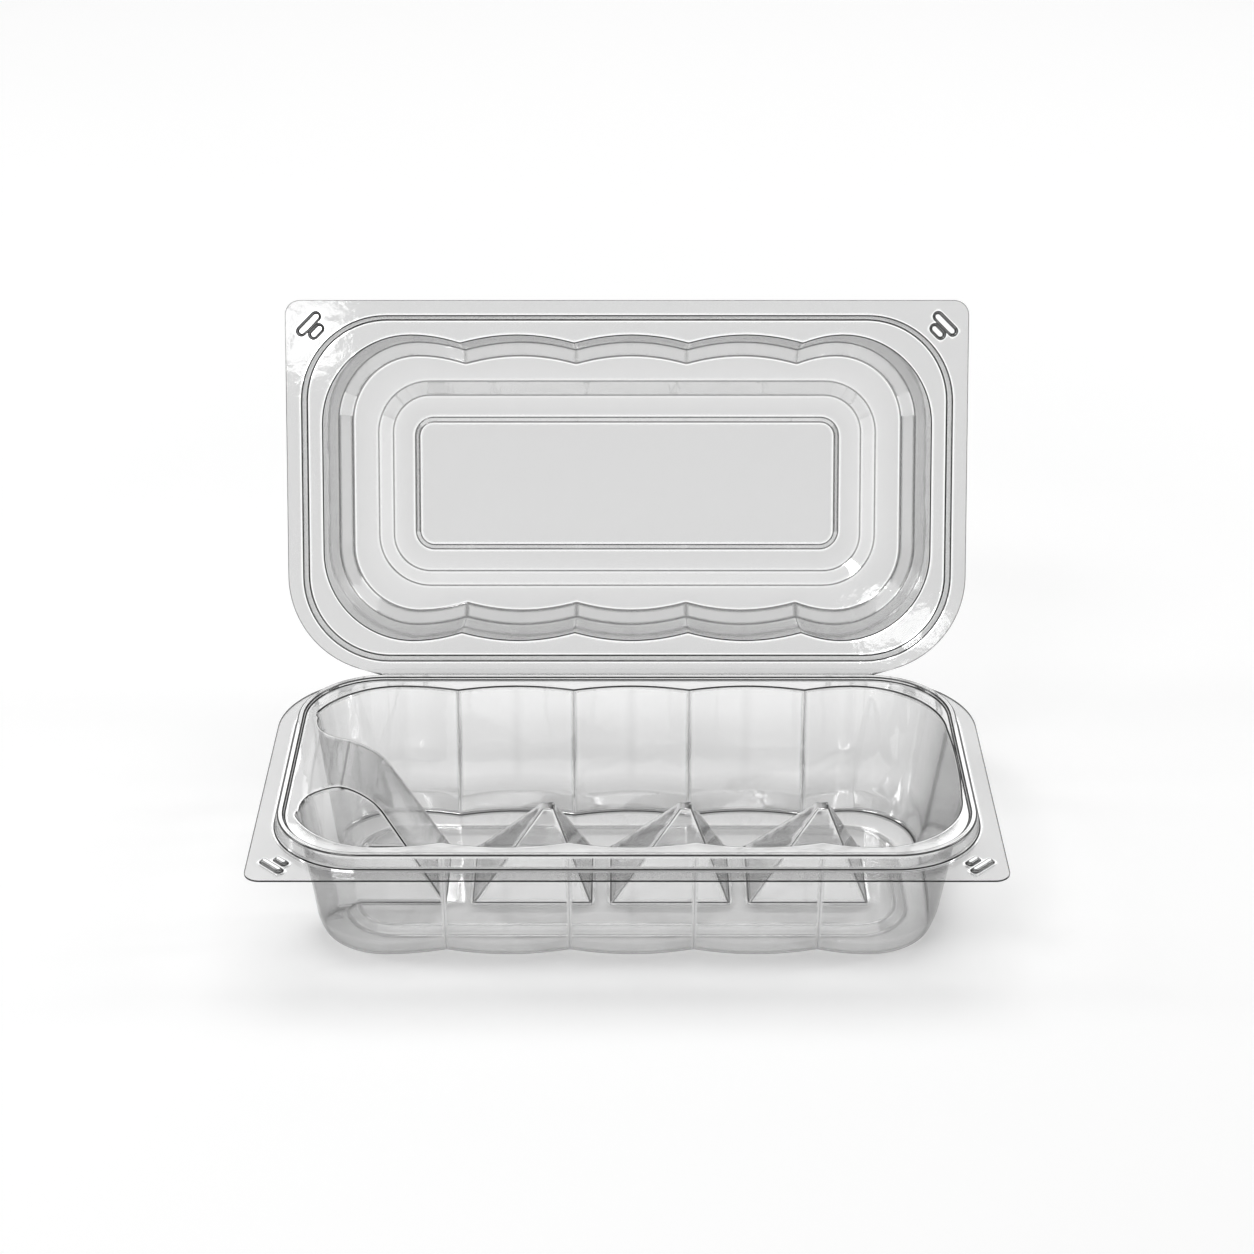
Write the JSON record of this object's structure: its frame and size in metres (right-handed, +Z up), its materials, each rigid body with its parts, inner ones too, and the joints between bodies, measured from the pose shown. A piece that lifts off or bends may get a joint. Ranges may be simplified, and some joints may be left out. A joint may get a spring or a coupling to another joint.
{
  "type": "hinged clamshell food pack",
  "caption": "Clear hinged clamshell pack with a fluted rectangular tray, pyramid dividers, an end ramp and a domed snap lid, standing open.",
  "frame": {"origin": "middle of the base of the open pack, on the surface it stands on", "axes": "+X along the hinge and the pack's length, towards the end without the ramp; +Y back, from the tray towards the open lid; +Z up"},
  "size_m": [0.23, 0.2022, 0.1598],
  "materials": {
    "tray_sheet": "thermoformed clear PET, gloss",
    "lid_sheet": "thermoformed clear PET, gloss"
  },
  "bodies": {
    "tray": {"tray": "tray_sheet"},
    "lid": {"lid": "lid_sheet"}
  },
  "joints": [
    {"name": "lid_hinge", "type": "hinge", "parent": "tray", "child": "lid", "pos_m": [0, 0.02617, 0.0413], "axis": [1, 0, 0], "range_deg": [-68.65, 111.35]}
  ]
}
